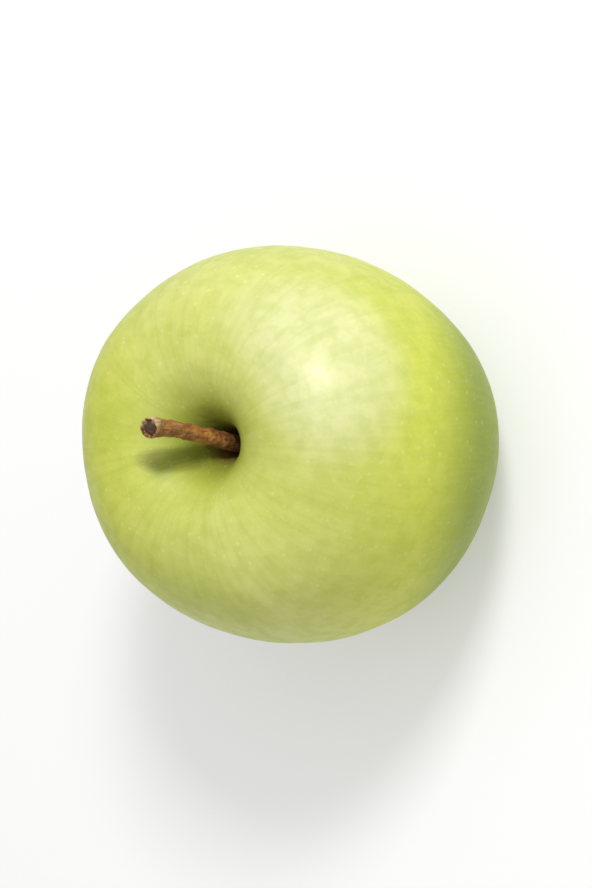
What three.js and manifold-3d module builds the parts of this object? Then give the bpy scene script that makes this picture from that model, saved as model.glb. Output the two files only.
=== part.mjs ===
// A green dessert apple, standing on the lobes round its calyx, with its stem up.
// Millimetres, +Z up. The origin is on the surface the apple stands on, under the middle of the fruit.
//
// Nodes: fruit, stem, sepal_1 to sepal_5 and stamens. The fruit grew as one piece, so it is one solid.
import * as THREE from "three";
import { mergeVertices } from "three/addons/utils/BufferGeometryUtils.js";
import Module from "manifold-3d";

const wasm = await Module();
wasm.setup();

// ---- Driving dimensions ----

// Outside of the fruit
const GIRTH_RADIUS = 37.5; // mean radius at the widest level
const GIRTH_HEIGHT = 35; // the widest level
const SHOULDER_HEIGHT = 64.5; // top of the shoulders
const SHOULDER_RADIUS = 16.5; // where the shoulders are highest
const FOOT_RADIUS = 13.8; // where the lobes touch the surface
const FOOT_FLAT = 0.35; // how much of each lobe is pressed flat
const OVAL = 0.015; // share by which the girth is long one way and short the other
const OVAL_TURN = 62; // degrees from +X to the long way

// How full the outline is: shares of the way from one named point to the next
const FLANK_FLOOR = 0.5; // the flank stays low this far out
const FLANK_WALL = 0.4; // and is upright from this far up
const SHOULDER_WALL = 0.62; // the side stays upright this far up
const SHOULDER_ROOF = 0.58; // and the shoulders are level from this far out

// Stem cavity, and the socket that holds the stem's foot
const CAVITY_EDGE = 5.2; // the shoulders stay level this far inwards
const LIP_RADIUS = 5.2; // where the cavity turns from a funnel into a throat
const LIP_DROP = 6.8; // of the lip below the shoulders
const LIP_SLOPE = 57; // degrees from level
const LIP_RUN_ABOVE = 4.2; // how far the wall keeps that slope
const LIP_RUN_BELOW = 2.8;
const THROAT_DROP = 16.5; // of the throat's end below the shoulders
const THROAT_WALL = 3.2; // height over which the throat's end is upright
const SOCKET_DEPTH = 2.6; // from the throat's end

// Calyx basin, and the tube behind the eye
const BASIN_DEPTH = 9; // of the eye's rim above the surface
const BASIN_EDGE = 4.4; // the lobes stay level this far inwards
const BASIN_FLARE = 1.6; // outwards, from the eye's rim
const BASIN_STEEP = 3.4; // downwards, from the eye's rim
const EYE_RADIUS = 3.3;
const TUBE_RADIUS = 1.9; // at its closed end
const TUBE_DEPTH = 4.5; // from the eye's rim

// Stem
const STEM_RADIUS = 1.4; // at its thinnest
const STEM_FOOT_RADIUS = 1.9; // in the socket
const STEM_KNOB_RADIUS = 1.95; // where it broke from the spur
const STEM_KNOB_LENGTH = 3.7;
const STEM_KNOB_DISH = 0.25; // depth of the hollow in its broken end
const STEM_LENGTH = 26.5;
const STEM_LEAN_X = 2.8; // how far the knob is off the foot
const STEM_LEAN_Y = 4.8;
const STEM_BEND = 1.25; // 1 leans evenly along X, and more leans nearer the foot

// Dried flower remains in the eye
const SEPAL_COUNT = 5;
const SEPAL_TURN = 24; // degrees from +X to the first
const SEPAL_LENGTH = 5.6;
const SEPAL_GAP = 0.8; // between the feet of two neighbours
const SEPAL_HALF_THICKNESS = 0.3;
const SEPAL_CURL = 62; // degrees that the tip turns outwards
const STAMEN_COUNT = 9;
const STAMEN_LENGTH = 3.4;
const STAMEN_RADIUS = 0.22;
const STAMEN_SPREAD = 9; // degrees from upright
const STAMEN_ROOT = 0.5; // length inside the stub
const STUB_HEIGHT = 3.2;

const CLEARANCE = 0.3; // between any two nodes
const STUB_CLEARANCE = 0.65; // round the stub in the tube

// Five lobes, one behind each seed chamber. Turn is in degrees from +X; size is the share of a full lobe.
const LOBES = [
  { turn: 60, size: 1.05 },
  { turn: 128, size: 0.65 },
  { turn: 198, size: 1.0 },
  { turn: 289, size: 1.05 },
  { turn: 2, size: 0.7 },
];
const RIB_AT_FOOT = 0.038; // ribs, as shares of the radius
const RIB_AT_GIRTH = 0.018;
const RIB_AT_SHOULDER = 0.023;
const CROWN_HEIGHT = 1.5; // of the furrows above the lobes, where the apple stands
const CROWN_REACH = 15; // height at which the furrows have run out
const SHOULDER_HUMP = 1.1; // of the lobes over the furrows, at the shoulders
const SHOULDER_TILT = 0.9; // the shoulders rise this much to one side
const SHOULDER_TILT_TURN = 120; // degrees from +X to that side

// Fineness of the meshes
const FRUIT_SEGMENTS = 60;
const STEM_SEGMENTS = 14;
const SEPAL_SEGMENTS = 10;
const STUB_SEGMENTS = 12;
const STAMEN_SEGMENTS = 6;

const { degToRad, lerp, smoothstep } = THREE.MathUtils;

// ---- Helpers ----

// A closed geometry as a manifold solid: only positions, with shared vertices merged.
function solidOf(geometry) {
  const bare = geometry.clone();
  bare.deleteAttribute("normal");
  bare.deleteAttribute("uv");
  const merged = mergeVertices(bare, 1e-4);
  return new wasm.Manifold(
    new wasm.Mesh({
      numProp: 3,
      vertProperties: merged.attributes.position.array,
      triVerts: new Uint32Array(merged.index.array),
    }),
  );
}

function geometryOf(solid) {
  const mesh = solid.getMesh();
  const geometry = new THREE.BufferGeometry();
  geometry.setAttribute("position", new THREE.BufferAttribute(mesh.vertProperties, 3));
  geometry.setIndex(new THREE.BufferAttribute(mesh.triVerts, 1));
  geometry.computeVertexNormals();
  return geometry;
}

// Turns a profile of (radius, height) points about the Z axis.
function lathe(profile, segments) {
  const geometry = new THREE.LatheGeometry(profile, segments);
  geometry.rotateX(Math.PI / 2);
  return geometry;
}

// Moves every vertex of a geometry by change(vertex).
function reshape(geometry, change) {
  const position = geometry.attributes.position;
  const vertex = new THREE.Vector3();
  for (let i = 0; i < position.count; i++) {
    vertex.fromBufferAttribute(position, i);
    change(vertex);
    position.setXYZ(i, vertex.x, vertex.y, vertex.z);
  }
  return geometry;
}

function bezier(from, out, into, to) {
  return new THREE.CubicBezierCurve(from, out, into, to);
}

const at = (radius, height) => new THREE.Vector2(radius, height);

// ---- Fruit ----

const LIP_HEIGHT = SHOULDER_HEIGHT - LIP_DROP;
const THROAT_HEIGHT = SHOULDER_HEIGHT - THROAT_DROP;
const SOCKET_RADIUS = STEM_FOOT_RADIUS + CLEARANCE;
const SOCKET_FLOOR = THROAT_HEIGHT - SOCKET_DEPTH;
const TUBE_END = BASIN_DEPTH + TUBE_DEPTH;

// The fruit's outline, from the closed end of the calyx tube, out round the fruit, to the socket's floor.
function fruitProfile() {
  const eye = at(EYE_RADIUS, BASIN_DEPTH);
  const foot = at(FOOT_RADIUS, -FOOT_FLAT);
  const girth = at(GIRTH_RADIUS, GIRTH_HEIGHT);
  const shoulder = at(SHOULDER_RADIUS, SHOULDER_HEIGHT);
  const lip = at(LIP_RADIUS, LIP_HEIGHT);
  const throat = at(SOCKET_RADIUS, THROAT_HEIGHT);
  const upLip = at(Math.cos(degToRad(LIP_SLOPE)), Math.sin(degToRad(LIP_SLOPE)));

  const basin = bezier(
    eye,
    at(EYE_RADIUS + BASIN_FLARE, BASIN_DEPTH - BASIN_STEEP),
    at(FOOT_RADIUS - BASIN_EDGE, -FOOT_FLAT),
    foot,
  );
  const flank = bezier(
    foot,
    at(lerp(FOOT_RADIUS, GIRTH_RADIUS, FLANK_FLOOR), -FOOT_FLAT),
    at(GIRTH_RADIUS, GIRTH_HEIGHT * FLANK_WALL),
    girth,
  );
  const side = bezier(
    girth,
    at(GIRTH_RADIUS, lerp(GIRTH_HEIGHT, SHOULDER_HEIGHT, SHOULDER_WALL)),
    at(lerp(SHOULDER_RADIUS, GIRTH_RADIUS, SHOULDER_ROOF), SHOULDER_HEIGHT),
    shoulder,
  );
  const funnel = bezier(
    shoulder,
    at(SHOULDER_RADIUS - CAVITY_EDGE, SHOULDER_HEIGHT),
    lip.clone().addScaledVector(upLip, LIP_RUN_ABOVE),
    lip,
  );
  const throatWall = bezier(
    lip,
    lip.clone().addScaledVector(upLip, -LIP_RUN_BELOW),
    at(SOCKET_RADIUS, THROAT_HEIGHT + THROAT_WALL),
    throat,
  );
  return [
    at(0, TUBE_END),
    at(TUBE_RADIUS, TUBE_END),
    ...basin.getPoints(9),
    ...flank.getPoints(15).slice(1),
    ...side.getPoints(14).slice(1),
    ...funnel.getPoints(9).slice(1),
    ...throatWall.getPoints(5).slice(1),
    at(SOCKET_RADIUS, SOCKET_FLOOR),
    at(0, SOCKET_FLOOR),
  ];
}

// Near 1 along the middle of a full lobe, and near 0 along the furrow between two lobes.
function lobeAt(turn) {
  const spacing = (2 * Math.PI) / LOBES.length;
  let height = 0;
  for (const lobe of LOBES) {
    const away = turn - degToRad(lobe.turn);
    const off = Math.atan2(Math.sin(away), Math.cos(away));
    if (Math.abs(off) < spacing) {
      height += lobe.size * Math.cos((off / spacing) * (Math.PI / 2)) ** 4;
    }
  }
  return height;
}

// Gives a turned point of the fruit its ribs, oval girth, crown and uneven shoulders. The eye, the throat
// and the socket stay round, because what sits in them is round.
function growFruit(point) {
  const turn = Math.atan2(point.y, point.x);
  const lobe = lobeAt(turn);
  const shaped = smoothstep(Math.hypot(point.x, point.y), EYE_RADIUS, FOOT_RADIUS);
  const low = 1 - smoothstep(point.z, 0, GIRTH_HEIGHT);
  const high = smoothstep(point.z, GIRTH_HEIGHT, SHOULDER_HEIGHT);
  const rib =
    RIB_AT_GIRTH + (RIB_AT_FOOT - RIB_AT_GIRTH) * low + (RIB_AT_SHOULDER - RIB_AT_GIRTH) * high;
  const oval = OVAL * Math.cos(2 * (turn - degToRad(OVAL_TURN)));
  const wider = 1 + (oval + rib * (lobe - 0.5)) * shaped;

  const crown = 1 - smoothstep(point.z, 0, CROWN_REACH);
  const tilt = SHOULDER_TILT * Math.cos(turn - degToRad(SHOULDER_TILT_TURN));
  point.x *= wider;
  point.y *= wider;
  point.z += CROWN_HEIGHT * (1 - Math.min(lobe, 1)) * crown * shaped;
  point.z += (SHOULDER_HUMP * (lobe - 0.5) + tilt) * high * shaped;
}

// The fruit, cut level where it stands.
function makeFruit() {
  const grown = reshape(lathe(fruitProfile(), FRUIT_SEGMENTS), growFruit);
  const depth = 2 * FOOT_FLAT;
  const below = new THREE.BoxGeometry(4 * GIRTH_RADIUS, 4 * GIRTH_RADIUS, depth);
  below.translate(0, 0, -depth / 2);
  return geometryOf(solidOf(grown).subtract(solidOf(below)));
}

// ---- Stem ----

// Stands in the socket, thin in the middle and swollen at both ends, and leans to one side as it rises.
function makeStem() {
  const foot = SOCKET_FLOOR + CLEARANCE;
  const collar = THROAT_HEIGHT;
  const neck = foot + STEM_LENGTH - STEM_KNOB_LENGTH;
  const end = foot + STEM_LENGTH;
  const neckRadius = lerp(STEM_RADIUS, STEM_KNOB_RADIUS, 0.25);
  const shank = bezier(
    at(STEM_FOOT_RADIUS, collar),
    at(STEM_RADIUS, lerp(collar, neck, 0.2)),
    at(STEM_RADIUS, lerp(collar, neck, 0.7)),
    at(neckRadius, neck),
  );
  const knob = bezier(
    at(neckRadius, neck),
    at(STEM_KNOB_RADIUS * 0.9, lerp(neck, end, 0.5)),
    at(STEM_KNOB_RADIUS * 1.12, lerp(neck, end, 0.8)),
    at(STEM_KNOB_RADIUS * 0.8, end),
  );
  const profile = [
    at(0, foot),
    at(STEM_FOOT_RADIUS, foot),
    ...shank.getPoints(14),
    ...knob.getPoints(6).slice(1),
    at(0, end - STEM_KNOB_DISH),
  ];
  return reshape(lathe(profile, STEM_SEGMENTS), (point) => {
    const rise = Math.max(0, (point.z - collar) / (end - collar));
    point.x += STEM_LEAN_X * rise ** 2 * (3 * (1 - rise) * STEM_BEND + rise);
    point.y += STEM_LEAN_Y * rise ** 1.3;
  });
}

// ---- Calyx ----

// A narrow dried leaf that hangs from the rim of the eye and curls outwards. It is made hanging straight
// down with its face to +X, then curled, moved to the rim and turned to its place.
function makeSepal(turn) {
  const rimRadius = EYE_RADIUS - CLEARANCE - SEPAL_HALF_THICKNESS;
  const halfWidth = rimRadius * Math.sin(Math.PI / SEPAL_COUNT) - SEPAL_GAP / 2;
  const outline = bezier(
    at(halfWidth * 0.9, 0),
    at(halfWidth * 1.25, SEPAL_LENGTH * 0.35),
    at(halfWidth * 0.55, SEPAL_LENGTH * 0.7),
    at(halfWidth * 0.14, SEPAL_LENGTH),
  );
  const profile = [at(0, 0), ...outline.getPoints(9), at(0, SEPAL_LENGTH)].reverse();
  const curlRadius = SEPAL_LENGTH / degToRad(SEPAL_CURL);
  const flatness = SEPAL_HALF_THICKNESS / halfWidth;
  const geometry = reshape(lathe(profile, SEPAL_SEGMENTS), (point) => {
    const angle = point.z / curlRadius;
    const radius = curlRadius - point.x * flatness;
    point.x = curlRadius - radius * Math.cos(angle);
    point.z = -radius * Math.sin(angle);
  });
  geometry.translate(rimRadius, 0, BASIN_DEPTH);
  geometry.rotateZ(turn);
  return geometry;
}

// The withered stamens: a stub at the tube's closed end, with a ring of short threads that spread a little.
function makeStamens() {
  const root = TUBE_END - CLEARANCE;
  const stubRadius = TUBE_RADIUS - STUB_CLEARANCE;
  const stub = new THREE.CylinderGeometry(stubRadius, stubRadius, STUB_HEIGHT, STUB_SEGMENTS);
  stub.rotateX(Math.PI / 2);
  stub.translate(0, 0, root - STUB_HEIGHT / 2);
  let tuft = solidOf(stub);
  for (let i = 0; i < STAMEN_COUNT; i++) {
    const thread = new THREE.CylinderGeometry(
      STAMEN_RADIUS,
      STAMEN_RADIUS * 1.5,
      STAMEN_LENGTH,
      STAMEN_SEGMENTS,
    );
    thread.rotateX(Math.PI / 2);
    thread.translate(0, 0, STAMEN_ROOT - STAMEN_LENGTH / 2);
    thread.rotateY(-degToRad(STAMEN_SPREAD));
    thread.translate(stubRadius / 2, 0, root - STUB_HEIGHT);
    thread.rotateZ((2 * Math.PI * i) / STAMEN_COUNT);
    tuft = tuft.add(solidOf(thread));
  }
  return geometryOf(tuft);
}

// ---- Assembly ----

const skin = new THREE.MeshStandardMaterial({ color: 0xc4d268, roughness: 0.42, metalness: 0 });
const bark = new THREE.MeshStandardMaterial({ color: 0x8a5a34, roughness: 0.8, metalness: 0 });
const driedLeaf = new THREE.MeshStandardMaterial({ color: 0x75603f, roughness: 0.9, metalness: 0 });
const driedThread = new THREE.MeshStandardMaterial({ color: 0x4a3522, roughness: 0.9, metalness: 0 });

const apple = new THREE.Group();

function place(name, geometry, material) {
  const mesh = new THREE.Mesh(geometry, material);
  mesh.name = name;
  apple.add(mesh);
  return mesh;
}

const fruit = place("fruit", makeFruit(), skin);
place("stem", makeStem(), bark);
for (let i = 0; i < SEPAL_COUNT; i++) {
  const turn = degToRad(SEPAL_TURN) + (2 * Math.PI * i) / SEPAL_COUNT;
  place(`sepal_${i + 1}`, makeSepal(turn), driedLeaf);
}
place("stamens", makeStamens(), driedThread);

// The fruit isn't even, so it is centred over the origin with all that it carries.
const middle = new THREE.Box3().setFromObject(fruit).getCenter(new THREE.Vector3());
apple.position.set(-middle.x, -middle.y, 0);

export default apple;
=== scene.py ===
# %% [markdown]
# # A green apple
# One picked apple stands on the lobes round its calyx, with its stem up. Its size and place come from a
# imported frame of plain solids: the fruit, the stem, five sepals and the stamens. This notebook turns each
# plain solid into a finished surface, piece by piece, and then lights and frames the apple.

# %% The frame
import math
import random

import bpy
from mathutils import Matrix, Vector


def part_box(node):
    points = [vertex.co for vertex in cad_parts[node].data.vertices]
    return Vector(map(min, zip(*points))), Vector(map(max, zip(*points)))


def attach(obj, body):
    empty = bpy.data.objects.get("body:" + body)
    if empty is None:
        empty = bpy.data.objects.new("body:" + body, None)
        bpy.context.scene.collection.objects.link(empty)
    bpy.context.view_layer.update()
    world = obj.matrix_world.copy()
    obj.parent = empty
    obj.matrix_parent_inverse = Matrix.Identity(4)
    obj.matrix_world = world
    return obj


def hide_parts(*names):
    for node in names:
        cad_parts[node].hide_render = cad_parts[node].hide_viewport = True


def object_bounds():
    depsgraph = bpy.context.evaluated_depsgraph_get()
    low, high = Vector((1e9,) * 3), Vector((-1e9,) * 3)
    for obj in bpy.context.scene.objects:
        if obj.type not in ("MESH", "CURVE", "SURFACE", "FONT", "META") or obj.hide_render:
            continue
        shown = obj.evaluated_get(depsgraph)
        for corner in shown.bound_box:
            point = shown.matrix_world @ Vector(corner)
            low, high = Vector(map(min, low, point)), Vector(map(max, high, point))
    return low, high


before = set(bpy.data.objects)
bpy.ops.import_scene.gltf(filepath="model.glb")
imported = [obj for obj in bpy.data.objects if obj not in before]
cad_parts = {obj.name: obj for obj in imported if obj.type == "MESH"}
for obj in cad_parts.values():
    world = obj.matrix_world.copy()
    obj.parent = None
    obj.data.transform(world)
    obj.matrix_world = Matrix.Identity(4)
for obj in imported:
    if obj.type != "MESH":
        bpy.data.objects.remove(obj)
CAD_LOW, CAD_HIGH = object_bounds()
MM = 0.001
print("frame:", sorted(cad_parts), "size", [round(side / MM, 1) for side in CAD_HIGH - CAD_LOW], "mm")

# %% [markdown]
# ## Camera
# The camera comes first, because the light is planned for it. The apple is seen from above, 55 degrees
# over level, and the camera is rolled a quarter turn so that the stem end points to the left of the
# view. A long lens from about 0.6 m away keeps the fruit's outline true.

# %% Camera
FRUIT_LOW, FRUIT_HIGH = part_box("fruit")
FRUIT_MIDDLE = (FRUIT_LOW + FRUIT_HIGH) / 2
FRUIT_WIDTH = FRUIT_HIGH.y - FRUIT_LOW.y

CAMERA_RISE = math.radians(55)
CAMERA_LENS = 135  # mm
CAMERA_NEAR = 0.01  # nearest distance that is drawn, in metres
SHORT_SIDE_SENSOR = 24  # mm: the long side takes the sensor's 36 mm, and the view is 2 by 3
FRUIT_SHARE = 0.68  # of the view's width

TO_CAMERA = Vector((0, -math.cos(CAMERA_RISE), math.sin(CAMERA_RISE)))
VIEW_UP = Vector((1, 0, 0))
VIEW_RIGHT = VIEW_UP.cross(TO_CAMERA)

camera_distance = FRUIT_WIDTH / FRUIT_SHARE * CAMERA_LENS / SHORT_SIDE_SENSOR
bpy.ops.object.camera_add()
camera = bpy.context.object
camera.name = "camera"
camera.data.lens = CAMERA_LENS
camera.data.clip_start = CAMERA_NEAR
axes = Matrix((VIEW_RIGHT, VIEW_UP, TO_CAMERA)).transposed().to_4x4()
camera.matrix_world = Matrix.Translation(FRUIT_MIDDLE + TO_CAMERA * camera_distance) @ axes
bpy.context.scene.camera = camera
print("camera:", round(camera_distance, 3), "m away")

# %% [markdown]
# ## Light
# The scene is bright and almost without shadow. A small softbox at the top of the view gives the bright
# gleam on the shoulder and the crisp shadow of the stem in its cavity. A wide one beside it spreads a
# milky veil round the gleam, and pale light comes from all round. The look is plain, so colours go
# straight to the screen.

# %% Light
KEY_FROM = Vector((-0.09, 0.6, 0.8))  # shares of view right, view up and towards the camera
KEY_SIZE = 0.2
KEY_POWER = 5.0
VEIL_FROM = Vector((-0.1, 0.5, 0.86))
VEIL_SIZE = 0.8
VEIL_POWER = 1.5
SOFTBOX_DISTANCE = 0.9
SKY_STRENGTH = 0.66


def add_softbox(name, seen_from, size, power):
    """A square light that faces the fruit, from a direction given as the camera sees it."""
    right, up, near = seen_from
    towards = (VIEW_RIGHT * right + VIEW_UP * up + TO_CAMERA * near).normalized()
    bpy.ops.object.light_add(type="AREA", location=FRUIT_MIDDLE + towards * SOFTBOX_DISTANCE)
    light = bpy.context.object
    light.name = name
    light.data.size = size
    light.data.energy = power
    light.rotation_mode = "QUATERNION"
    light.rotation_quaternion = towards.to_track_quat("Z", "Y")
    print(name + ":", size, "m wide,", power, "W")


add_softbox("key", KEY_FROM, KEY_SIZE, KEY_POWER)
add_softbox("veil", VEIL_FROM, VEIL_SIZE, VEIL_POWER)
world = bpy.data.worlds.new("pale room")
world.use_nodes = True
world.node_tree.nodes["Background"].inputs["Color"].default_value = (1, 1, 1, 1)
world.node_tree.nodes["Background"].inputs["Strength"].default_value = SKY_STRENGTH
bpy.context.scene.world = world
bpy.context.scene.view_settings.view_transform = "Standard"
print(world.name + ":", SKY_STRENGTH)

# %% [markdown]
# ## Floor
# A wide sheet of white paper. It glows a little, as a light table does, so that the shadow on it stays
# pale. It isn't part of the apple.

# %% Floor
FLOOR_SIZE = 8.0
FLOOR_WHITE = 0.62
FLOOR_GLOW = 0.29
PAPER_ROUGHNESS = 0.9

bpy.ops.mesh.primitive_plane_add(size=FLOOR_SIZE, location=(0, 0, CAD_LOW.z))
floor = bpy.context.object
floor.name = "floor"
paper = bpy.data.materials.new("floor paper")
paper.use_nodes = True
paper_shader = paper.node_tree.nodes["Principled BSDF"]
paper_shader.inputs["Base Color"].default_value = (FLOOR_WHITE, FLOOR_WHITE, FLOOR_WHITE, 1)
paper_shader.inputs["Roughness"].default_value = PAPER_ROUGHNESS
paper_shader.inputs["Emission Color"].default_value = (1, 1, 1, 1)
paper_shader.inputs["Emission Strength"].default_value = FLOOR_GLOW
floor.data.materials.append(paper)
print("floor:", FLOOR_SIZE, "m wide")

# %% [markdown]
# ## Patterns that several finishes share
# Skin, bark and dried leaves all need the same few effects at different sizes: soft patches, small specks,
# and streaks that run along the apple's middle line. Each is a shader node group with named inputs, made
# once and placed in every material that uses it. They read Object coordinates, which are metres in the
# apple's own frame, so a pattern stays where it is when the apple is turned.

# %% Pattern groups
def new_group(name, inputs, output):
    """An empty shader group. inputs is {name: starting number, or None for a vector}."""
    group = bpy.data.node_groups.new(name, "ShaderNodeTree")
    for label, number in inputs.items():
        kind = "NodeSocketVector" if number is None else "NodeSocketFloat"
        socket = group.interface.new_socket(label, in_out="INPUT", socket_type=kind)
        if number is not None:
            socket.default_value = number
    group.interface.new_socket(output, in_out="OUTPUT", socket_type="NodeSocketFloat")
    return group, group.nodes.new("NodeGroupInput"), group.nodes.new("NodeGroupOutput")


def add_node(tree, kind, inputs=None, **settings):
    """A node with its settings. Each input is a number, a colour, or a socket to link from."""
    node = tree.nodes.new(kind)
    for setting, value in settings.items():
        setattr(node, setting, value)
    for label, value in (inputs or {}).items():
        if isinstance(value, bpy.types.NodeSocket):
            tree.links.new(value, node.inputs[label])
        else:
            node.inputs[label].default_value = value
    return node


def remap(tree, value, from_low, from_high, to_low=0.0, to_high=1.0):
    """The value's stretch from_low to from_high, smoothly turned into to_low to to_high."""
    node = add_node(
        tree, "ShaderNodeMapRange",
        {"Value": value, "From Min": from_low, "From Max": from_high, "To Min": to_low, "To Max": to_high},
        interpolation_type="SMOOTHSTEP",
    )
    return node.outputs["Result"]


def make_patches_group():
    """Soft patches: 0 and 1 meet along a blurred edge. Per Metre sets their fineness."""
    group, start, end = new_group(
        "soft patches", {"Vector": None, "Per Metre": 100, "Detail": 4, "Low": 0.35, "High": 0.65}, "Mask"
    )
    taken = start.outputs
    noise = add_node(
        group, "ShaderNodeTexNoise",
        {"Vector": taken["Vector"], "Scale": taken["Per Metre"], "Detail": taken["Detail"]},
    )
    mask = remap(group, noise.outputs["Fac"], taken["Low"], taken["High"])
    group.links.new(mask, end.inputs["Mask"])
    return group


def make_specks_group():
    """Round specks of uneven size, scattered through space so that a surface cuts only some of them."""
    group, start, end = new_group(
        "specks", {"Vector": None, "Per Metre": 500, "Radius": 0.25, "Softness": 0.12}, "Mask"
    )
    cells = add_node(
        group, "ShaderNodeTexVoronoi",
        {"Vector": start.outputs["Vector"], "Scale": start.outputs["Per Metre"]},
    )
    inner = add_node(
        group, "ShaderNodeMath", {0: start.outputs["Radius"], 1: start.outputs["Softness"]},
        operation="SUBTRACT",
    )
    mask = remap(group, cells.outputs["Distance"], start.outputs["Radius"], inner.outputs["Value"])
    group.links.new(mask, end.inputs["Mask"])
    return group


def make_streaks_group():
    """Streaks that run from the stem to the calyx, like the lines on a globe. Round counts them across
    one radian of the girth, and Along per metre of height."""
    group, start, end = new_group(
        "streaks", {"Vector": None, "Round": 12, "Along": 20, "Detail": 3, "Low": 0.35, "High": 0.65},
        "Mask",
    )
    split = add_node(group, "ShaderNodeSeparateXYZ", {"Vector": start.outputs["Vector"]})
    level = add_node(group, "ShaderNodeCombineXYZ", {"X": split.outputs["X"], "Y": split.outputs["Y"]})
    outwards = add_node(
        group, "ShaderNodeVectorMath", {0: level.outputs["Vector"]}, operation="NORMALIZE"
    )
    spread = add_node(
        group, "ShaderNodeVectorMath",
        {0: outwards.outputs["Vector"], "Scale": start.outputs["Round"]}, operation="SCALE",
    )
    height = add_node(
        group, "ShaderNodeMath", {0: split.outputs["Z"], 1: start.outputs["Along"]}, operation="MULTIPLY"
    )
    lift = add_node(group, "ShaderNodeCombineXYZ", {"Z": height.outputs["Value"]})
    place = add_node(
        group, "ShaderNodeVectorMath",
        {0: spread.outputs["Vector"], 1: lift.outputs["Vector"]}, operation="ADD",
    )
    noise = add_node(
        group, "ShaderNodeTexNoise",
        {"Vector": place.outputs["Vector"], "Scale": 1.0, "Detail": start.outputs["Detail"]},
    )
    mask = remap(group, noise.outputs["Fac"], start.outputs["Low"], start.outputs["High"])
    group.links.new(mask, end.inputs["Mask"])
    return group


PATCHES = make_patches_group()
SPECKS = make_specks_group()
STREAKS = make_streaks_group()
print("pattern groups:", PATCHES.name, SPECKS.name, STREAKS.name)

# %% [markdown]
# ## Helpers for finishes
# A finish starts from a colour and lays further colours over it, each through a mask.

# %% Helpers for finishes
MIX_UNDER, MIX_OVER, MIX_RESULT = 6, 7, 2  # a Mix node's sockets for colours, which share their labels


def linear(red, green, blue):
    """A colour given as on a screen, 0 to 255, turned into the linear numbers that shaders use."""
    def channel(value):
        value /= 255
        return value / 12.92 if value <= 0.04045 else ((value + 0.055) / 1.055) ** 2.4

    return (channel(red), channel(green), channel(blue), 1)


def new_finish(name):
    """A material with nothing but its shader, and its tree, shader and Object coordinates."""
    material = bpy.data.materials.new(name)
    material.use_nodes = True
    tree = material.node_tree
    shader = tree.nodes["Principled BSDF"]
    coordinates = tree.nodes.new("ShaderNodeTexCoord").outputs["Object"]
    return material, tree, shader, coordinates


def pattern(tree, group, vector, **inputs):
    """Places a pattern group and returns its mask. Per_Metre stands for Per Metre."""
    node = tree.nodes.new("ShaderNodeGroup")
    node.node_tree = group
    tree.links.new(vector, node.inputs["Vector"])
    for label, value in inputs.items():
        node.inputs[label.replace("_", " ")].default_value = value
    return node.outputs["Mask"]


def times(tree, first, second):
    """Product of two masks, or of a mask and a number."""
    product = add_node(tree, "ShaderNodeMath", {0: first, 1: second}, operation="MULTIPLY")
    return product.outputs["Value"]


def add_product(tree, first, second, addend):
    """The product of the first two, plus the third."""
    total = add_node(tree, "ShaderNodeMath", {0: first, 1: second, 2: addend}, operation="MULTIPLY_ADD")
    return total.outputs["Value"]


def distance_from(tree, vector, place):
    """How far the vector's end is from a place, in metres."""
    node = add_node(tree, "ShaderNodeVectorMath", {0: vector, 1: tuple(place)}, operation="DISTANCE")
    return node.outputs["Value"]


def lay_over(tree, under, colour, mask):
    """Lays a colour over another where the mask is 1."""
    mix = add_node(
        tree, "ShaderNodeMix", {"Factor": mask, MIX_UNDER: under, MIX_OVER: colour}, data_type="RGBA"
    )
    return mix.outputs[MIX_RESULT]


def lay_all(tree, base, layers, masks):
    """Lays colours over the base in turn. Each layer is (colour, name of its mask, strength)."""
    colour = base
    for over, mask, strength in layers:
        colour = lay_over(tree, colour, over, times(tree, masks[mask], strength))
    return colour


def bump(tree, shader, *layers):
    """Chains bumps into the shader's normal. Each layer is (height mask, depth in metres)."""
    normal = None
    for height, depth in layers:
        node = add_node(tree, "ShaderNodeBump", {"Height": height, "Distance": depth, "Strength": 1.0})
        if normal:
            tree.links.new(normal, node.inputs["Normal"])
        normal = node.outputs["Normal"]
    tree.links.new(normal, shader.inputs["Normal"])


# %% [markdown]
# ## Helpers for modelling
# Every step in edit mode acts on what is selected, so these helpers select one object, or the points of a
# mesh that pass a test, and leave everything else alone.

# %% Helpers for modelling
SAME_PLACE = 0.01 * MM  # points nearer than this are one point


def select_only(piece):
    """Makes one object the only selected and the active one."""
    if bpy.context.mode != "OBJECT":
        bpy.ops.object.mode_set(mode="OBJECT")
    bpy.ops.object.select_all(action="DESELECT")
    piece.select_set(True)
    bpy.context.view_layer.objects.active = piece


def modify(piece, kind, name, **settings):
    """Adds a modifier with its settings and applies it."""
    select_only(piece)
    modifier = piece.modifiers.new(name, kind)
    for setting, value in settings.items():
        setattr(modifier, setting, value)
    bpy.ops.object.modifier_apply(modifier=name)


def select_points(piece, chosen):
    """Goes into edit mode with just those points selected whose place passes the test."""
    select_only(piece)
    mesh = piece.data
    for part in (*mesh.polygons, *mesh.edges):
        part.select = False
    for vertex in mesh.vertices:
        vertex.select = chosen(vertex.co)
    bpy.ops.object.mode_set(mode="EDIT")
    bpy.ops.mesh.select_mode(type="VERT")


def weight_points(piece, name, weight_at):
    """Gives the piece a vertex group whose weights come from each point's place."""
    group = piece.vertex_groups.new(name=name)
    for vertex in piece.data.vertices:
        group.add([vertex.index], weight_at(vertex.co), "REPLACE")


def ease(value, start, end):
    """0 up to start, 1 from end on, and a smooth climb between them."""
    share = min(max((value - start) / (end - start), 0), 1)
    return share * share * (3 - 2 * share)


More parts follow.
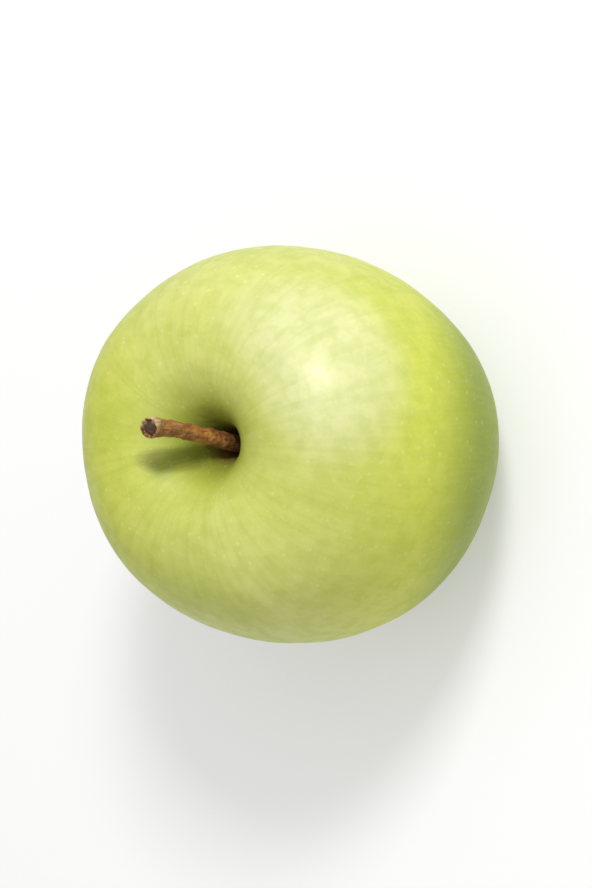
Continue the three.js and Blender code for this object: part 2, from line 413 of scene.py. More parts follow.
def level_ring(node, height, reach=0.6 * MM):
    """Middle and mean radius of a CAD node's points within reach of a height."""
    points = [v.co.copy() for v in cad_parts[node].data.vertices if abs(v.co.z - height) < reach]
    middle = sum(points, Vector()) / len(points)
    radius = sum((point - middle).xy.length for point in points) / len(points)
    return middle, radius


def finish_piece(piece, slot, *replaced):
    """Smooths the piece's shading, puts it on the apple and lets it stand for its CAD nodes."""
    select_only(piece)
    bpy.ops.object.shade_smooth()
    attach(piece, "root")
    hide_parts(*replaced)
    print(piece.name + ":", len(piece.data.polygons), "faces for", ", ".join(replaced))


# %% [markdown]
# ## Fruit
# The solid fruit already has the right outline, lobes and hollows, but it is faceted. It could be spun
# again from a profile, but then the lobes would have to be matched by eye. So a copy of it is merged,
# its triangle pairs are turned back into quads, and subdivision rounds it. The rims of the eye and of the
# stem's socket are creased first, so that they stay crisp. Real apples aren't that even: slow swells and
# small ripples are pushed into the skin, and wrinkles where it meets the stem.

# %% Fruit surface
CREASE_ANGLE = math.radians(48)  # the rims of the eye and the socket are sharper than this
CREASE = 0.75
FLOOR_BAND = (1.5 * MM, 12 * MM)  # heights between which the swells fade in
UPPER_BAND = (FRUIT_MIDDLE.z, FRUIT_MIDDLE.z + 10 * MM)  # heights between which the wrinkles fade in
SWELL_SIZE = 16 * MM
SWELL_HEIGHT = 0.55 * MM
RIPPLE_SIZE = 5 * MM
RIPPLE_HEIGHT = 0.1 * MM
WRINKLE_SIZE = 1.3 * MM
WRINKLE_HEIGHT = 0.35 * MM
THROAT_RADIUS = (3 * MM, 8 * MM)  # the wrinkles fade out between these


def clouds(name, size):
    """A soft random pattern for Displace, with lumps of about that size."""
    texture = bpy.data.textures.new(name, type="CLOUDS")
    texture.noise_scale = size
    return texture


def push(piece, name, size, height, group=""):
    """Pushes the surface in and out along its normals, more where the vertex group is heavier."""
    modify(
        piece, "DISPLACE", name, texture=clouds(name, size), texture_coords="LOCAL",
        strength=height, mid_level=0.5, vertex_group=group,
    )


def throat_weight(point):
    """1 in the stem cavity's throat and 0 outside it."""
    from_axis = (point - STEM_FOOT).xy.length
    return (1 - ease(from_axis, *THROAT_RADIUS)) * ease(point.z, *UPPER_BAND)


def open_weight(point):
    """1 on the skin that neither rests on the floor nor lines the throat."""
    return ease(point.z, *FLOOR_BAND) * (1 - throat_weight(point))


STEM_LOW, STEM_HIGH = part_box("stem")
STEM_FOOT, STEM_FOOT_RADIUS = level_ring("stem", STEM_LOW.z)
STAMENS_LOW, STAMENS_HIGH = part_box("stamens")
EYE = (STAMENS_LOW + STAMENS_HIGH) / 2  # on the line through the middle of the calyx

fruit = bpy.data.objects.new("fruit_surface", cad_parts["fruit"].data.copy())
bpy.context.scene.collection.objects.link(fruit)
fruit.data.materials.clear()
select_only(fruit)
bpy.ops.object.mode_set(mode="EDIT")
bpy.ops.mesh.select_all(action="SELECT")
bpy.ops.mesh.remove_doubles(threshold=SAME_PLACE)
bpy.ops.mesh.tris_convert_to_quads()
bpy.ops.mesh.select_all(action="DESELECT")
bpy.ops.mesh.edges_select_sharp(sharpness=CREASE_ANGLE)
bpy.ops.transform.edge_crease(value=CREASE)
bpy.ops.object.mode_set(mode="OBJECT")
modify(fruit, "SUBSURF", "round", levels=2, render_levels=2)
weight_points(fruit, "open skin", open_weight)
weight_points(fruit, "throat", throat_weight)
push(fruit, "swell", SWELL_SIZE, SWELL_HEIGHT, "open skin")
push(fruit, "ripple", RIPPLE_SIZE, RIPPLE_HEIGHT, "open skin")
push(fruit, "wrinkle", WRINKLE_SIZE, WRINKLE_HEIGHT, "throat")
finish_piece(fruit, "skin", "fruit")

# %% [markdown]
# ## Skin
# The skin is pale yellow-green. Towards one side it turns lime and then deep green: painted shade. It is
# greener low on the flank and inside the stem cavity, where the green is partly the skin's own and partly
# painted shade. The throat is painted olive shade, with a painted shadow of the stem beside it. Over that
# lie soft patches, faint streaks from stem to calyx, and hundreds of pale pores. Corky russet lines the
# throat of the stem cavity and rings the calyx. A thin wax coat gives a small bright gleam, with a milky
# patch of painted sheen round it. All this could be one painted texture, but patterns in space keep their
# size everywhere on the fruit and need no seams. Each tint is a colour, a mask that says where it shows,
# and a strength.

# %% Skin colours
SKIN_PALE = linear(188, 194, 98)
SKIN_CREAM = linear(204, 205, 122)
SKIN_GREEN = linear(148, 164, 36)
# lime is a tint on the back side and painted shade on the other side; deep green is painted shade
LIME_TINT_AND_SHADE = linear(190, 198, 24)
PAINTED_SHADE_GREEN = linear(118, 136, 0)
# olive is painted shade in the throat and the painted shadow of the stem
PAINTED_SHADE_OLIVE = linear(98, 98, 4)
PORE_CREAM = linear(214, 216, 150)
# painted sheen: a milky veil round the gleam
PAINTED_SHEEN = linear(222, 222, 196)
RUSSET = linear(96, 62, 24)

SKIN_TINTS = (  # colour, name of its mask, strength, from the deepest up
    (SKIN_CREAM, "patches", 0.6),
    (LIME_TINT_AND_SHADE, "back side", 0.5),
    # painted shade: lime, then deep green, on the side away from the light
    (LIME_TINT_AND_SHADE, "painted shade edge", 0.7),
    (PAINTED_SHADE_GREEN, "painted shade side", 0.95),
    (SKIN_GREEN, "low flank", 0.6),
    # painted sheen round the gleam
    (PAINTED_SHEEN, "painted sheen", 0.4),
    # the cavity's green is partly the skin's own colour and partly painted shade; the throat's olive is
    # painted shade
    (SKIN_GREEN, "cavity", 0.6),
    (PAINTED_SHADE_OLIVE, "throat", 0.75),
    # painted shadow of the stem on the skin
    (PAINTED_SHADE_OLIVE, "painted stem shadow", 0.65),
    (SKIN_GREEN, "streaks", 0.14),
    (SKIN_GREEN, "mottle", 0.24),
    (SKIN_CREAM, "fine streaks", 0.1),
    (PORE_CREAM, "small pores", 0.24),
    (PORE_CREAM, "pores", 0.42),
    (RUSSET, "throat cork", 0.85),
    (RUSSET, "calyx ring", 0.5),
    (RUSSET, "calyx tube", 0.85),
)
print("skin tints:", len(SKIN_TINTS))

# %% [markdown]
# The masks come from where a point is: how far it reaches towards one side of the fruit, how high it is,
# or how far it is from the stem's foot. Each band gives the distance where a tint starts and the one
# where it is full.

# %% Places on the skin
PAINTED_SHADE_SIDE = Vector((-0.06, -0.67, -0.74)).normalized()  # the side where painted shade is laid: lime, then deep green
BACK_SIDE = Vector((-0.1, 0.88, 0.45)).normalized()  # the skin turns a little greener towards this side
SHEEN_AND_WAX_SIDE = Vector((0.4, -0.54, 0.74)).normalized()  # where the sheen is painted and the wax coat is thickest
PAINTED_STEM_SHADOW = Vector((-2.9, 7.5)) * MM  # middle of the painted shadow that the leaning stem casts on the skin
PAINTED_STEM_SHADOW_STRETCH = 2.6  # how much shorter that patch is along X than along Y

PAINTED_SHADE_EDGE_BAND = (-6 * MM, 23 * MM)  # towards the shade side
PAINTED_SHADE_BAND = (15 * MM, 31 * MM)
BACK_BAND = (18 * MM, 35 * MM)  # towards the back side
PAINTED_SHEEN_BAND = (31.5 * MM, 38 * MM)  # towards the side of the painted sheen
WAX_BAND = (30 * MM, 38 * MM)
WAX_COAT = (0.08, 0.24)  # weight of the coat, from bare skin to thick wax
ABOVE_BAND = (FRUIT_MIDDLE.z, FRUIT_MIDDLE.z + 12 * MM)  # upwards
BELOW_BAND = (14 * MM, 6 * MM)  # downwards
LOW_FLANK_BAND = (26 * MM, 6 * MM)
TUBE_HEIGHT_BAND = (22 * MM, 16 * MM)
PAINTED_STEM_SHADOW_BAND = (7.5 * MM, 3.5 * MM)  # towards the middle of the patch
CAVITY_BAND = (15 * MM, 5 * MM)  # towards the line that the stem's foot is on
THROAT_BAND = (9 * MM, 3.5 * MM)
CORK_BAND = (4.6 * MM, 2.4 * MM)
CALYX_RING_BAND = (8 * MM, 3.5 * MM)
CALYX_TUBE_BAND = (3.8 * MM, 3.1 * MM)


def side_masks(tree, at):
    """Masks of the skin's sides, which come from how far a point reaches towards each."""
    from_middle = add_node(
        tree, "ShaderNodeVectorMath", {0: at, 1: tuple(FRUIT_MIDDLE)}, operation="SUBTRACT"
    ).outputs["Vector"]

    def towards(side):
        reach = add_node(
            tree, "ShaderNodeVectorMath", {0: from_middle, 1: tuple(side)}, operation="DOT_PRODUCT"
        )
        return reach.outputs["Value"]

    shadewards, backwards, sheen_and_wax_wards = towards(PAINTED_SHADE_SIDE), towards(BACK_SIDE), towards(SHEEN_AND_WAX_SIDE)
    return {
        "painted shade edge": remap(tree, shadewards, *PAINTED_SHADE_EDGE_BAND),
        "painted shade side": remap(tree, shadewards, *PAINTED_SHADE_BAND),
        "back side": remap(tree, backwards, *BACK_BAND),
        "painted sheen": remap(tree, sheen_and_wax_wards, *PAINTED_SHEEN_BAND),
        "wax coat": remap(tree, sheen_and_wax_wards, *WAX_BAND, *WAX_COAT),
    }


def hollow_masks(tree, at):
    """Masks of the stem cavity, the calyx and the low flank, which come from height and distance."""
    split = add_node(tree, "ShaderNodeSeparateXYZ", {"Vector": at})
    height = split.outputs["Z"]
    level = add_node(tree, "ShaderNodeCombineXYZ", {"X": split.outputs["X"], "Y": split.outputs["Y"]})
    from_axis = distance_from(tree, level.outputs["Vector"], (STEM_FOOT.x, STEM_FOOT.y, 0))
    stretched = add_node(
        tree, "ShaderNodeMapping",
        {
            "Vector": level.outputs["Vector"],
            "Location": (-PAINTED_STEM_SHADOW_STRETCH * PAINTED_STEM_SHADOW.x, -PAINTED_STEM_SHADOW.y, 0),
            "Scale": (PAINTED_STEM_SHADOW_STRETCH, 1, 1),
        },
    ).outputs["Vector"]
    from_painted_stem_shadow = add_node(tree, "ShaderNodeVectorMath", {0: stretched}, operation="LENGTH")
    above = remap(tree, height, *ABOVE_BAND)
    below = remap(tree, height, *BELOW_BAND)
    tube_heights = remap(tree, height, *TUBE_HEIGHT_BAND)
    return {
        "low flank": remap(tree, height, *LOW_FLANK_BAND),
        "painted stem shadow": times(tree, remap(tree, from_painted_stem_shadow.outputs["Value"], *PAINTED_STEM_SHADOW_BAND), above),
        "cavity": times(tree, remap(tree, from_axis, *CAVITY_BAND), above),
        "throat": times(tree, remap(tree, from_axis, *THROAT_BAND), above),
        "throat cork": times(tree, remap(tree, from_axis, *CORK_BAND), above),
        "calyx ring": times(tree, remap(tree, from_axis, *CALYX_RING_BAND), below),
        "calyx tube": times(tree, remap(tree, from_axis, *CALYX_TUBE_BAND), tube_heights),
    }


print("shade side:", PAINTED_SHADE_SIDE[:], "back side:", BACK_SIDE[:], "bloom side:", SHEEN_AND_WAX_SIDE[:])

# %% [markdown]
# The fine patterns lie over the whole fruit. Pores and fine streaks are sparser on the deep green side,
# and pores are fainter between the patches.

# %% Fine patterns on the skin
SHADE_SPARSENESS = 0.5  # what is left of pores and fine streaks on the deep green side
PORE_FAINTNESS = 0.5  # what is left of pores between the patches


def fine_masks(tree, at, painted_shade_side):
    """Masks of the patterns that cover the whole skin."""
    patches = pattern(tree, PATCHES, at, Per_Metre=45, Detail=4, Low=0.38, High=0.66)
    fine_streaks = pattern(tree, STREAKS, at, Round=55, Along=120, Detail=3, Low=0.4, High=0.7)
    round_pores = pattern(tree, SPECKS, at, Per_Metre=430, Radius=0.22, Softness=0.17)
    small_pores = pattern(tree, SPECKS, at, Per_Metre=900, Radius=0.24, Softness=0.2)
    sparse = remap(tree, painted_shade_side, 0, 1, 1, SHADE_SPARSENESS)
    pore_dents = times(tree, round_pores, remap(tree, patches, 0, 1, PORE_FAINTNESS, 1))
    return {
        "patches": patches,
        "mottle": pattern(tree, PATCHES, at, Per_Metre=330, Detail=3, Low=0.35, High=0.7),
        "grain": pattern(tree, PATCHES, at, Per_Metre=1600, Detail=2, Low=0.2, High=0.8),
        "streaks": pattern(tree, STREAKS, at, Round=16, Along=60, Detail=4, Low=0.42, High=0.68),
        "fine streaks": times(tree, fine_streaks, sparse),
        "small pores": times(tree, small_pores, sparse),
        "pores": times(tree, pore_dents, sparse),
        "pore dents": pore_dents,
    }


print("what is left on the shade side:", SHADE_SPARSENESS, "of the pores")

# %% [markdown]
# The finish puts the tints together. The skin is rougher in the corky throat, its coat is thicker where
# the wax is, and a little light passes through it.

# %% Skin finish
SKIN_ROUGHNESS = (0.46, 0.54)  # from smooth to mottled skin
CORK_ROUGHNESS = 0.3  # added in the throat
WAX_ROUGHNESS = 0.25
SKIN_GLOSS = 0.3
FLESH_GLOW = 0.12  # share of the light that passes through the skin
FLESH_COLOUR_REACH = (1.0, 0.9, 0.3)  # how far red, green and blue travel in it
FLESH_REACH = 1.5 * MM
GRAIN_DEPTH = 0.012 * MM
MOTTLE_DEPTH = 0.03 * MM
PORE_DEPTH = 0.02 * MM


def make_skin():
    """The fruit's skin, with its tints, wax and pores."""
    material, tree, shader, at = new_finish("apple skin")
    masks = side_masks(tree, at) | hollow_masks(tree, at)
    masks |= fine_masks(tree, at, masks["painted shade side"])
    tree.links.new(lay_all(tree, SKIN_PALE, SKIN_TINTS, masks), shader.inputs["Base Color"])
    polished = remap(tree, masks["mottle"], 0, 1, *SKIN_ROUGHNESS)
    roughness = add_product(tree, masks["throat"], CORK_ROUGHNESS, polished)
    tree.links.new(roughness, shader.inputs["Roughness"])
    tree.links.new(masks["wax coat"], shader.inputs["Coat Weight"])
    bump(
        tree, shader,
        (masks["grain"], GRAIN_DEPTH), (masks["mottle"], MOTTLE_DEPTH), (masks["pore dents"], PORE_DEPTH),
    )
    shader.inputs["Specular IOR Level"].default_value = SKIN_GLOSS
    shader.inputs["Coat Roughness"].default_value = WAX_ROUGHNESS
    shader.inputs["Subsurface Weight"].default_value = FLESH_GLOW
    shader.inputs["Subsurface Radius"].default_value = FLESH_COLOUR_REACH
    shader.inputs["Subsurface Scale"].default_value = FLESH_REACH
    return material


fruit.data.materials.append(make_skin())
print(fruit.name + ":", fruit.data.materials[0].name, "with", len(SKIN_TINTS), "tints")

# %% [markdown]
# ## Stem
# The stem is a woody stalk that broke off the spur at a swollen knob. It starts as a disc in the socket
# and is extruded ring by ring along the line that the solid stem follows. Each ring is scaled to the
# solid's radius there. Then the end is shaped: a lip, and a ragged hollow where the wood tore. A bent
# cylinder would be quicker, but it would have no foot, no knob and no broken end.

# %% Stem
STEM_SIDES = 16
STEM_RINGS = 24
RING_REACH = 0.75  # how far from its height a ring still gathers points, of the step to the next ring
STEM_SWELL = 1.06  # bark stands a little proud of the plain solid
FOOT_FLARE = 1.2  # the foot spreads to meet the skin
KNOB_SPREAD = 1.12
LIP_RISE = 0.2 * MM
LIP_WIDTH = 0.3 * MM
HOLLOW_DEPTH = 0.45 * MM
PITH_RISE = 0.3 * MM
PITH_INSET = 0.55 * MM
BARK_LUMP_SIZE = 2.4 * MM
BARK_LUMP_HEIGHT = 0.7 * MM
RIDGE_SIZE = 0.8 * MM
RIDGE_HEIGHT = 0.28 * MM
SHANK_BAND = (3 * MM, 8 * MM)  # heights above the foot between which the bark gets rough


def stem_line(count):
    """Middle and radius of the solid stem at even heights, foot first."""
    span = STEM_HIGH.z - STEM_LOW.z
    heights = [STEM_LOW.z + span * (step + 0.5) / count for step in range(count)]
    return [level_ring("stem", height, reach=RING_REACH * span / count) for height in heights]


bpy.ops.mesh.primitive_circle_add(
    vertices=STEM_SIDES, radius=STEM_FOOT_RADIUS * FOOT_FLARE, fill_type="NGON", location=STEM_FOOT,
)
stem = bpy.context.object
stem.name = "stem_wood"
bpy.ops.object.transform_apply(location=True, rotation=True, scale=True)
bpy.ops.object.mode_set(mode="EDIT")
bpy.ops.mesh.select_all(action="SELECT")
here, here_radius = STEM_FOOT.copy(), STEM_FOOT_RADIUS * FOOT_FLARE
for there, there_radius in stem_line(STEM_RINGS):
    there_radius *= STEM_SWELL
    bpy.ops.mesh.extrude_region_move(TRANSFORM_OT_translate={"value": there - here})
    grow = there_radius / here_radius
    bpy.ops.transform.resize(value=(grow, grow, 1), center_override=there)
    here, here_radius = there, there_radius

# the broken end: it spreads, then a lip, a hollow and the pith that stands up in it
bpy.ops.transform.resize(value=(KNOB_SPREAD, KNOB_SPREAD, 1), center_override=here)
bpy.ops.mesh.extrude_region_move(TRANSFORM_OT_translate={"value": (0, 0, LIP_RISE)})
bpy.ops.mesh.inset(thickness=LIP_WIDTH)
bpy.ops.mesh.extrude_region_move(TRANSFORM_OT_translate={"value": (0, 0, -HOLLOW_DEPTH)})
bpy.ops.mesh.inset(thickness=PITH_INSET)
bpy.ops.mesh.extrude_region_move(TRANSFORM_OT_translate={"value": (0, 0, PITH_RISE)})
bpy.ops.object.mode_set(mode="OBJECT")
STEM_TIP = here.copy()
STEM_TIP_RADIUS = here_radius
print("stem: foot", STEM_FOOT, "tip", STEM_TIP, "radius", round(STEM_TIP_RADIUS / MM, 2), "mm")

# %% [markdown]
# The wood's surface is pushed about in two sizes: slow lumps that bend the outline, and ridges. The
# foot is left alone, because it sits in the socket.

# %% Stem surface
modify(stem, "SUBSURF", "round", levels=3, render_levels=3)
weight_points(stem, "shank", lambda point: ease(point.z - STEM_LOW.z, *SHANK_BAND))
push(stem, "lumps", BARK_LUMP_SIZE, BARK_LUMP_HEIGHT, "shank")
push(stem, "ridges", RIDGE_SIZE, RIDGE_HEIGHT, "shank")
finish_piece(stem, "stem_bark", "stem")

# %% [markdown]
# ## Bark
# Dry orange-brown bark with grain that runs along the stem. It is darker down in the cavity, bleached
# in patches near the knob, and dark brown in the torn hollow at the end. Waves could give lines too, but
# too even ones. So the grain is the same soft-patch pattern as on the skin, read through coordinates
# that are squeezed across the stem.

# %% Bark finish
BARK_ORANGE = linear(182, 122, 56)
BARK_DARK = linear(84, 46, 20)
BARK_PALE = linear(214, 194, 140)
TORN_DARK = linear(62, 36, 18)
GRAIN_STRETCH = (1500, 1500, 170)  # per metre across and along the stem

BARK_TINTS = (  # colour, name of its mask, strength, from the deepest up
    (BARK_DARK, "blotches", 0.6),
    (BARK_DARK, "in the cavity", 0.75),
    (BARK_PALE, "bleached end", 0.75),
    (BARK_DARK, "grain", 0.55),
    (BARK_PALE, "specks", 0.3),
    (TORN_DARK, "torn end", 0.93),
)
KNOB_BAND = (STEM_TIP.z - 6 * MM, STEM_TIP.z - 1.5 * MM)  # upwards
STEM_CAVITY_BAND = (STEM_LOW.z + 14 * MM, STEM_LOW.z + 5 * MM)  # downwards
TORN_BAND = (STEM_TIP_RADIUS * 0.95, STEM_TIP_RADIUS * 0.55)  # towards the middle of the broken end
TORN_RAGGEDNESS = 0.45 * MM  # how far the grain pulls the torn wood outwards
BARK_ROUGHNESS = (0.6, 0.85)
BARK_GRAIN_DEPTH = 0.14 * MM
BARK_SPECK_DEPTH = 0.04 * MM


def bark_masks(tree, at):
    """Masks of the bark's grain, blotches and specks, and of its two ends."""
    squeezed = add_node(tree, "ShaderNodeMapping", {"Vector": at, "Scale": GRAIN_STRETCH})
    height = add_node(tree, "ShaderNodeSeparateXYZ", {"Vector": at}).outputs["Z"]
    grain = pattern(tree, PATCHES, squeezed.outputs["Vector"], Per_Metre=1, Detail=4, Low=0.35, High=0.68)
    bleached = pattern(tree, PATCHES, at, Per_Metre=230, Detail=2, Low=0.42, High=0.6)
    ragged = add_product(tree, grain, -TORN_RAGGEDNESS, distance_from(tree, at, STEM_TIP))
    return {
        "grain": grain,
        "blotches": pattern(tree, PATCHES, at, Per_Metre=300, Detail=3, Low=0.45, High=0.6),
        "specks": pattern(tree, SPECKS, at, Per_Metre=1900, Radius=0.3, Softness=0.25),
        "in the cavity": remap(tree, height, *STEM_CAVITY_BAND),
        "bleached end": times(tree, remap(tree, height, *KNOB_BAND), bleached),
        "torn end": remap(tree, ragged, *TORN_BAND),
    }


def make_bark():
    """The stem's bark, and the torn wood at its end."""
    material, tree, shader, at = new_finish("stem bark")
    masks = bark_masks(tree, at)
    tree.links.new(lay_all(tree, BARK_ORANGE, BARK_TINTS, masks), shader.inputs["Base Color"])
    tree.links.new(remap(tree, masks["grain"], 0, 1, *BARK_ROUGHNESS), shader.inputs["Roughness"])
    bump(tree, shader, (masks["grain"], BARK_GRAIN_DEPTH), (masks["specks"], BARK_SPECK_DEPTH))
    return material


stem.data.materials.append(make_bark())
print(stem.name + ":", stem.data.materials[0].name, "with", len(BARK_TINTS), "tints")

# %% [markdown]
# ## Sepals
# Five dry leaves hang round the eye of the apple. One leaf starts as a flat square grid beside the
# apple. Each row of it is narrowed to the leaf's outline and moved onto a curve that leaves the root
# downwards and curls out to the tip, and its edges are folded. It gets a thickness and is rounded. Then
# it is copied, turned to each root, and crinkled where it lies, so that no two are alike. A cone bent by
# hand would be quicker, but it would have no edges and no fold.

# %% One sepal
LEAF_ROWS = 9
LEAF_COLUMNS = 5
COLUMN_REACH = 0.25  # half the step from one column to the next, of the half width
LEAF_WIDTHS = (1.85, 1.8, 1.72, 1.6, 1.42, 1.16, 0.84, 0.48, 0.1)  # half widths in mm, root to tip
LEAF_ROOT = Vector((2.85, 10.3)) * MM  # distance from the axis, and height
LEAF_ELBOW = Vector((2.9, 5.6)) * MM
LEAF_TIP = Vector((6.3, 3.6)) * MM
LEAF_FOLD = (-0.36, 0.2)  # how far the edges stand out at the root and at the tip, of the half width
LEAF_THICKNESS = 0.32 * MM
LEAF_STEP = 0.01  # share of the leaf over which its direction is measured
BLANK_HALF = 5 * MM  # the flat blank is square, and lies clear of the apple
BLANK_MIDDLE = Vector((0.1, 0, 0))


def leaf_curve(share):
    """Point on the leaf's middle line: distance from the axis, and height."""
    rest = 1 - share
    return LEAF_ROOT * rest * rest + LEAF_ELBOW * 2 * rest * share + LEAF_TIP * share * share


def leaf_outwards(share):
    """Direction in which the leaf's outer face looks there, square to the middle line."""
    along = leaf_curve(min(share + LEAF_STEP, 1)) - leaf_curve(max(share - LEAF_STEP, 0))
    return Vector((-along.y, along.x)).normalized()


def row_at(place, reach):
    """A test for points that lie that near to a place, seen along the leaf's width."""
    return lambda point: abs(point.x - place.x) < reach and abs(point.z - place.z) < reach


def in_column(point, half_width, column):
    """Whether a point is that share of the half width out from the leaf's middle line."""
    return abs(abs(point.y) / half_width - column) < COLUMN_REACH


bpy.ops.object.select_all(action="DESELECT")
bpy.ops.mesh.primitive_grid_add(
    x_subdivisions=LEAF_ROWS - 1, y_subdivisions=LEAF_COLUMNS - 1,
    size=2 * BLANK_HALF, location=BLANK_MIDDLE,
)
leaf = bpy.context.object
leaf.name = "sepal_pattern"
bpy.ops.object.transform_apply(location=True, rotation=True, scale=True)
for row, half_width in enumerate(LEAF_WIDTHS):
    share = row / (LEAF_ROWS - 1)
    half_width *= MM
    start = BLANK_MIDDLE + Vector((BLANK_HALF * (2 * share - 1), 0, 0))
    distance, height = leaf_curve(share)
    goal = Vector((distance, 0, height))
    out, up = leaf_outwards(share)
    fold = Vector((out, 0, up)) * half_width * (LEAF_FOLD[0] * (1 - share) + LEAF_FOLD[1] * share)

    select_points(leaf, row_at(start, 0.5 * BLANK_HALF / LEAF_ROWS))
    bpy.ops.transform.resize(value=(1, half_width / BLANK_HALF, 1), center_override=start)
    bpy.ops.transform.translate(value=goal - start)
    in_row = row_at(goal, SAME_PLACE)
    for column in (0.5, 1.0):  # the points halfway out, then the edges
        select_points(leaf, lambda point: in_row(point) and in_column(point, half_width, column))
        bpy.ops.transform.translate(value=fold * column ** 2)
bpy.ops.object.mode_set(mode="OBJECT")
modify(leaf, "SOLIDIFY", "thickness", thickness=LEAF_THICKNESS, offset=0)
modify(leaf, "SUBSURF", "round", levels=2, render_levels=2)
print("leaf:", len(leaf.data.polygons), "faces")

# %% Five sepals
SEPAL_COUNT = 5
SEPAL_TURN = 24  # degrees, of the first
CRINKLE_SIZE = 1.1 * MM
CRINKLE_HEIGHT = 0.8 * MM

sepals = []
for number in range(SEPAL_COUNT):
    sepal = bpy.data.objects.new(f"sepal_leaf_{number + 1}", leaf.data.copy())
    bpy.context.scene.collection.objects.link(sepal)
    select_only(sepal)
    sepal.rotation_euler.z = math.radians(SEPAL_TURN + 360 / SEPAL_COUNT * number)
    sepal.location = (EYE.x, EYE.y, 0)
    bpy.ops.object.transform_apply(location=True, rotation=True, scale=True)
    push(sepal, "crinkle", CRINKLE_SIZE, CRINKLE_HEIGHT)
    finish_piece(sepal, "dried_sepal", f"sepal_{number + 1}")
    sepals.append(sepal)
bpy.data.objects.remove(leaf)

# %% [markdown]
# ## Stamens
# What is left of the flower hangs in the eye: a ring of dry threads with shrivelled heads. One thread is
# a small disc extruded along a bend, with a swollen end. It could be a bevelled curve, but an extruded
# disc closes both of its ends. Each copy is stretched, turned and leaned by its own random amounts, from
# a fixed seed, and all are joined with the stub that they grow from.

# %% Stamens
random.seed(7)
THREAD_SIDES = 6
THREAD_RADIUS = 0.16 * MM
THREAD_STEPS = (  # outwards and down in mm, and thickness as a share of the root's
    (0.05, 0.6, 0.95), (0.16, 1.2, 0.85), (0.36, 1.9, 0.75), (0.62, 2.6, 0.7),
    (0.8, 3.0, 1.6), (0.98, 3.3, 2.1), (1.1, 3.6, 1.2),
)
THREAD_ROOT = 10.4 * MM
THREAD_RING = 1.05 * MM
THREAD_COUNT = 15
SPACING_SLIP = 0.3  # how far a thread may be off its even place, of the space between two
RING_SHARES = (0.55, 1.0)  # how far out a thread may stand, of the ring
SIDE_LEANS = (-0.25, 0.25)  # radians
OUTWARD_LEANS = (-0.1, 0.35)
LENGTH_SHARES = (0.7, 1.1)
BEND_SHARES = (0.7, 1.2)
STUB_SIDES = 20
STUB_RADIUS = 1.25 * MM
STUB_INSET = 0.3 * MM
STUB_TOP = 13.2 * MM
STUB_BOTTOM = 10.0 * MM


def make_thread():
    """One dry thread that hangs from the ring, first down and then outwards."""
    bpy.ops.mesh.primitive_circle_add(
        vertices=THREAD_SIDES, radius=THREAD_RADIUS, fill_type="NGON", location=(0, 0, 0)
    )
    thread = bpy.context.object
    bpy.ops.object.mode_set(mode="EDIT")
    bpy.ops.mesh.select_all(action="SELECT")
    before, thick = Vector(), 1
    for outwards, down, thickness in THREAD_STEPS:
        place = Vector((outwards, 0, -down)) * MM
        bpy.ops.mesh.extrude_region_move(TRANSFORM_OT_translate={"value": place - before})
        grow = thickness / thick
        bpy.ops.transform.resize(value=(grow, grow, grow), center_override=place)
        before, thick = place, thickness
    bpy.ops.mesh.select_all(action="SELECT")
    bpy.ops.mesh.normals_make_consistent(inside=False)
    bpy.ops.object.mode_set(mode="OBJECT")
    return thread


thread = make_thread()
threads = []
for number in range(THREAD_COUNT):
    copy = bpy.data.objects.new(f"thread_{number + 1}", thread.data.copy())
    bpy.context.scene.collection.objects.link(copy)
    around = 2 * math.pi * (number + random.uniform(-SPACING_SLIP, SPACING_SLIP)) / THREAD_COUNT
    ring = THREAD_RING * random.uniform(*RING_SHARES)
    copy.location = (EYE.x + ring * math.cos(around), EYE.y + ring * math.sin(around), THREAD_ROOT)
    copy.rotation_euler = (random.uniform(*SIDE_LEANS), random.uniform(*OUTWARD_LEANS), around)
    length = random.uniform(*LENGTH_SHARES)
    copy.scale = (length * random.uniform(*BEND_SHARES), 1, length)
    threads.append(copy)
bpy.data.objects.remove(thread)

bpy.ops.mesh.primitive_cylinder_add(
    vertices=STUB_SIDES, radius=STUB_RADIUS, depth=STUB_TOP - STUB_BOTTOM,
    location=(EYE.x, EYE.y, (STUB_TOP + STUB_BOTTOM) / 2),
)
stamens = bpy.context.object
stamens.name = "dried_stamens"
bpy.ops.object.mode_set(mode="EDIT")
bpy.ops.mesh.select_all(action="SELECT")
bpy.ops.mesh.inset(thickness=STUB_INSET, use_individual=False)
bpy.ops.object.mode_set(mode="OBJECT")
for copy in threads:
    copy.select_set(True)
bpy.ops.object.join()
bpy.ops.object.transform_apply(location=True, rotation=True, scale=True)
modify(stamens, "SUBSURF", "round", levels=1, render_levels=1)
finish_piece(stamens, "dried_stamen", "stamens")

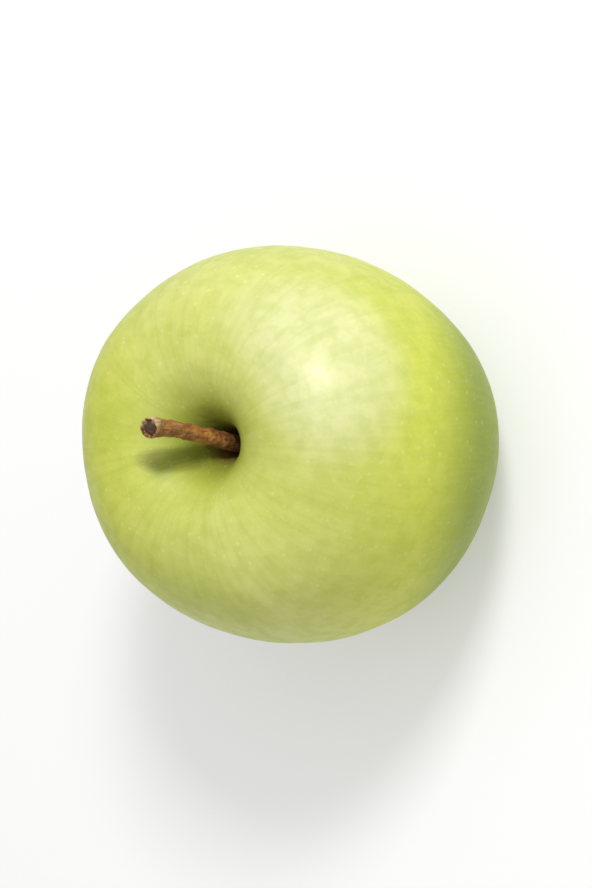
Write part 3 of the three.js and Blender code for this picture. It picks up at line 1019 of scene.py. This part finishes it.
# %% [markdown]
# ## Dry leaf and thread
# Both are dead flower parts: brown and patchy, with darker veins and a bloom of pale wool. Two finishes
# could be made by hand, but one function with two sets of colours and sizes keeps them alike.

# %% Dry finishes
LEAF_BROWN = linear(112, 88, 48)
LEAF_OLIVE = linear(128, 122, 62)
THREAD_BROWN = linear(74, 50, 28)
THREAD_TAN = linear(150, 118, 72)
VEIN_DARK = linear(54, 38, 22)
WOOL_GREY = linear(196, 190, 158)
PATCH_STRENGTH = 0.7
VEIN_STRENGTH = 0.45
WOOL_FINENESS = 6  # specks of wool across one patch
DRY_ROUGHNESS = (0.75, 0.95)  # from bare to woolly
VEIN_DEPTH = 0.1 * MM
WOOL_DEPTH = 0.06 * MM


def make_dry(name, body, tint, wool, per_metre):
    """A dry, woolly finish. wool is that tint's strength, and per_metre sets how fine the patches are."""
    material, tree, shader, at = new_finish(name)
    per_metre_wool = per_metre * WOOL_FINENESS
    masks = {
        "patches": pattern(tree, PATCHES, at, Per_Metre=per_metre, Detail=3, Low=0.4, High=0.62),
        "veins": pattern(tree, STREAKS, at, Round=30, Along=90, Detail=3, Low=0.42, High=0.7),
        "wool": pattern(tree, SPECKS, at, Per_Metre=per_metre_wool, Radius=0.36, Softness=0.3),
    }
    tints = (
        (tint, "patches", PATCH_STRENGTH),
        (VEIN_DARK, "veins", VEIN_STRENGTH),
        (WOOL_GREY, "wool", wool),
    )
    tree.links.new(lay_all(tree, body, tints, masks), shader.inputs["Base Color"])
    tree.links.new(remap(tree, masks["wool"], 0, 1, *DRY_ROUGHNESS), shader.inputs["Roughness"])
    bump(tree, shader, (masks["veins"], VEIN_DEPTH), (masks["wool"], WOOL_DEPTH))
    return material


dry_leaf = make_dry("dry sepal", LEAF_BROWN, LEAF_OLIVE, wool=0.4, per_metre=420)
for sepal in sepals:
    sepal.data.materials.append(dry_leaf)
dry_thread = make_dry("dry stamen", THREAD_BROWN, THREAD_TAN, wool=0.2, per_metre=900)
stamens.data.materials.append(dry_thread)
print("dry finishes:", dry_leaf.name, "on", len(sepals), "leaves, and", dry_thread.name)
